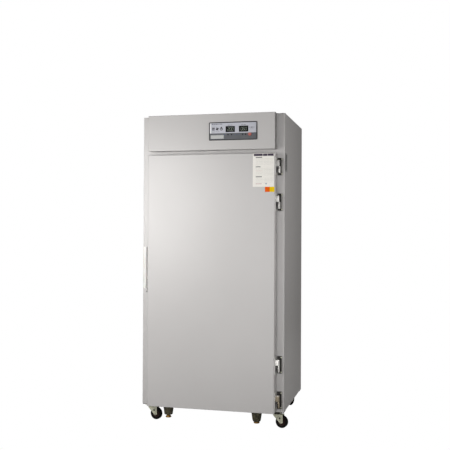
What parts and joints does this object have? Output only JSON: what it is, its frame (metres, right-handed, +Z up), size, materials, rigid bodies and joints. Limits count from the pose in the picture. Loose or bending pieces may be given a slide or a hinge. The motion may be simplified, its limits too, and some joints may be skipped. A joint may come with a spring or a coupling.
{
  "type": "dry heat sterilizer",
  "caption": "Tall insulated hot-air cabinet on swivel casters, with one hinged door, lever handle, control panel, shelves, fan and rear exhaust.",
  "frame": {"origin": "on the floor, at the centre of the part's outline in plan", "axes": "+Z up; the door is towards -Y and hangs on the +X side"},
  "size_m": [0.9414, 0.803, 1.9],
  "materials": {
    "cabinet_paint": "light grey powder coat, satin",
    "dark_frame": "dark grey primer",
    "zinc_plate": "zinc plated",
    "stainless": "brushed stainless",
    "mineral_wool": "mineral wool",
    "motor_paint": "satin",
    "grey_metal": "satin grey",
    "circuit_board": "solder mask",
    "black_plastic": "satin",
    "chrome": "polished",
    "bezel_plastic": "dark grey",
    "fascia_film": "printed film, pale field over a grey band",
    "display_black": "dark window",
    "lamp_blue": "small blue lens",
    "hammered_paint": "dark hammered paint",
    "silicone": "heat-resistant silicone",
    "card": "laminated white card",
    "ivory_plastic": "satin ivory",
    "aluminium": "cast",
    "red_plastic": "salmon red",
    "key_plastic": "dark rubberised",
    "caster_rubber": "black",
    "foot_brass": "dull brass"
  },
  "bodies": {
    "cabinet": {"base_frame": "dark_frame", "side_panel_left": "cabinet_paint", "side_panel_right": "cabinet_paint", "top_panel": "cabinet_paint", "rear_panel": "cabinet_paint", "front_frame": "cabinet_paint", "machine_deck": "zinc_plate", "control_cover": "cabinet_paint", "chamber_liner": "stainless", "chamber_insulation": "mineral_wool", "shelf_posts": "stainless", "shelf_clips": "stainless", "wire_shelves": "stainless", "air_baffle": "stainless", "fan_motor": "motor_paint", "heater_elements": "stainless", "temperature_probe": "stainless", "exhaust_pipe": "stainless", "air_inlet": "grey_metal", "control_board": "circuit_board", "cable_gland": "black_plastic", "hinge_frame_leaves": "chrome", "hinge_pins": "chrome", "hinge_screws_frame": "zinc_plate", "latch_strike": "chrome", "panel_bezel": "bezel_plastic", "panel_fascia": "fascia_film", "display_windows": "display_black", "indicator_lamps": "lamp_blue", "caster_plates": "zinc_plate", "caster_bolts": "zinc_plate", "foot_housings": "hammered_paint"},
    "door": {"door_skin": "cabinet_paint", "door_liner": "stainless", "door_insulation": "mineral_wool", "door_gasket": "silicone", "hinge_door_leaves": "chrome", "hinge_screws_door": "zinc_plate", "handle_base": "chrome", "log_card": "card"},
    "handle": {"handle_lever": "ivory_plastic"},
    "fan": {"fan_impeller": "aluminium"},
    "damper": {"exhaust_damper": "stainless"},
    "power_button": {"power_button": "red_plastic"},
    "key_1": {"set_key_1": "key_plastic"},
    "key_2": {"set_key_2": "key_plastic"},
    "key_3": {"set_key_3": "key_plastic"},
    "key_4": {"set_key_4": "key_plastic"},
    "fork_front_left": {"caster_fork_front_left": "zinc_plate"},
    "wheel_front_left": {"caster_wheel_front_left": "caster_rubber"},
    "fork_front_right": {"caster_fork_front_right": "zinc_plate"},
    "wheel_front_right": {"caster_wheel_front_right": "caster_rubber"},
    "fork_rear_left": {"caster_fork_rear_left": "zinc_plate"},
    "wheel_rear_left": {"caster_wheel_rear_left": "caster_rubber"},
    "fork_rear_right": {"caster_fork_rear_right": "zinc_plate"},
    "wheel_rear_right": {"caster_wheel_rear_right": "caster_rubber"},
    "foot_front_left": {"level_foot_front_left": "foot_brass"},
    "foot_front_right": {"level_foot_front_right": "foot_brass"},
    "foot_rear_left": {"level_foot_rear_left": "foot_brass"},
    "foot_rear_right": {"level_foot_rear_right": "foot_brass"}
  },
  "joints": [
    {"name": "door_swing", "type": "hinge", "parent": "cabinet", "child": "door", "pos_m": [0.421, -0.3675, 0.8775], "axis": [0, 0, 1], "range_deg": [0, 170]},
    {"name": "handle_pull", "type": "hinge", "parent": "door", "child": "handle", "pos_m": [-0.416, -0.3675, 0.851], "axis": [1, 0, 0], "range_deg": [0, 25], "stiffness_Nm_per_rad": 1.5, "springref_deg": -17.19},
    {"name": "fan_spin", "type": "hinge", "parent": "cabinet", "child": "fan", "pos_m": [0, -0.0035, 1.55], "axis": [0, 0, 1], "continuous": true},
    {"name": "damper_turn", "type": "hinge", "parent": "cabinet", "child": "damper", "pos_m": [-0.2, 0.378, 1.79], "axis": [0, 0, 1], "range_deg": [0, 90]},
    {"name": "power_press", "type": "slide", "parent": "cabinet", "child": "power_button", "axis": [0, 1, 0], "range_m": [0, 0.0015], "stiffness_N_per_m": 1000, "springref_m": -0.001},
    {"name": "key_1_press", "type": "slide", "parent": "cabinet", "child": "key_1", "axis": [0, 1, 0], "range_m": [0, 0.0015], "stiffness_N_per_m": 1000, "springref_m": -0.001},
    {"name": "key_2_press", "type": "slide", "parent": "cabinet", "child": "key_2", "axis": [0, 1, 0], "range_m": [0, 0.0015], "stiffness_N_per_m": 1000, "springref_m": -0.001},
    {"name": "key_3_press", "type": "slide", "parent": "cabinet", "child": "key_3", "axis": [0, 1, 0], "range_m": [0, 0.0015], "stiffness_N_per_m": 1000, "springref_m": -0.001},
    {"name": "key_4_press", "type": "slide", "parent": "cabinet", "child": "key_4", "axis": [0, 1, 0], "range_m": [0, 0.0015], "stiffness_N_per_m": 1000, "springref_m": -0.001},
    {"name": "swivel_front_left", "type": "hinge", "parent": "cabinet", "child": "fork_front_left", "pos_m": [-0.4, -0.2955, 0.083], "axis": [0, 0, 1], "continuous": true},
    {"name": "roll_front_left", "type": "hinge", "parent": "fork_front_left", "child": "wheel_front_left", "pos_m": [-0.3675, -0.30123, 0.0375], "axis": [0.1736, 0.9848, 0], "continuous": true},
    {"name": "swivel_front_right", "type": "hinge", "parent": "cabinet", "child": "fork_front_right", "pos_m": [0.4, -0.2955, 0.083], "axis": [0, 0, 1], "continuous": true},
    {"name": "roll_front_right", "type": "hinge", "parent": "fork_front_right", "child": "wheel_front_right", "pos_m": [0.4325, -0.30123, 0.0375], "axis": [0.1736, 0.9848, 0], "continuous": true},
    {"name": "swivel_rear_left", "type": "hinge", "parent": "cabinet", "child": "fork_rear_left", "pos_m": [-0.4, 0.3285, 0.083], "axis": [0, 0, 1], "continuous": true},
    {"name": "roll_rear_left", "type": "hinge", "parent": "fork_rear_left", "child": "wheel_rear_left", "pos_m": [-0.4325, 0.33423, 0.0375], "axis": [-0.1736, -0.9848, 0], "continuous": true},
    {"name": "swivel_rear_right", "type": "hinge", "parent": "cabinet", "child": "fork_rear_right", "pos_m": [0.4, 0.3285, 0.083], "axis": [0, 0, 1], "continuous": true},
    {"name": "roll_rear_right", "type": "hinge", "parent": "fork_rear_right", "child": "wheel_rear_right", "pos_m": [0.38502, 0.2991, 0.0375], "axis": [0.891, -0.454, 0], "continuous": true},
    {"name": "foot_front_left_adjust", "type": "slide", "parent": "cabinet", "child": "foot_front_left", "axis": [0, 0, 1], "range_m": [-0.025, 0.003]},
    {"name": "foot_front_right_adjust", "type": "slide", "parent": "cabinet", "child": "foot_front_right", "axis": [0, 0, 1], "range_m": [-0.025, 0.003]},
    {"name": "foot_rear_left_adjust", "type": "slide", "parent": "cabinet", "child": "foot_rear_left", "axis": [0, 0, 1], "range_m": [-0.025, 0.003]},
    {"name": "foot_rear_right_adjust", "type": "slide", "parent": "cabinet", "child": "foot_rear_right", "axis": [0, 0, 1], "range_m": [-0.025, 0.003]}
  ]
}
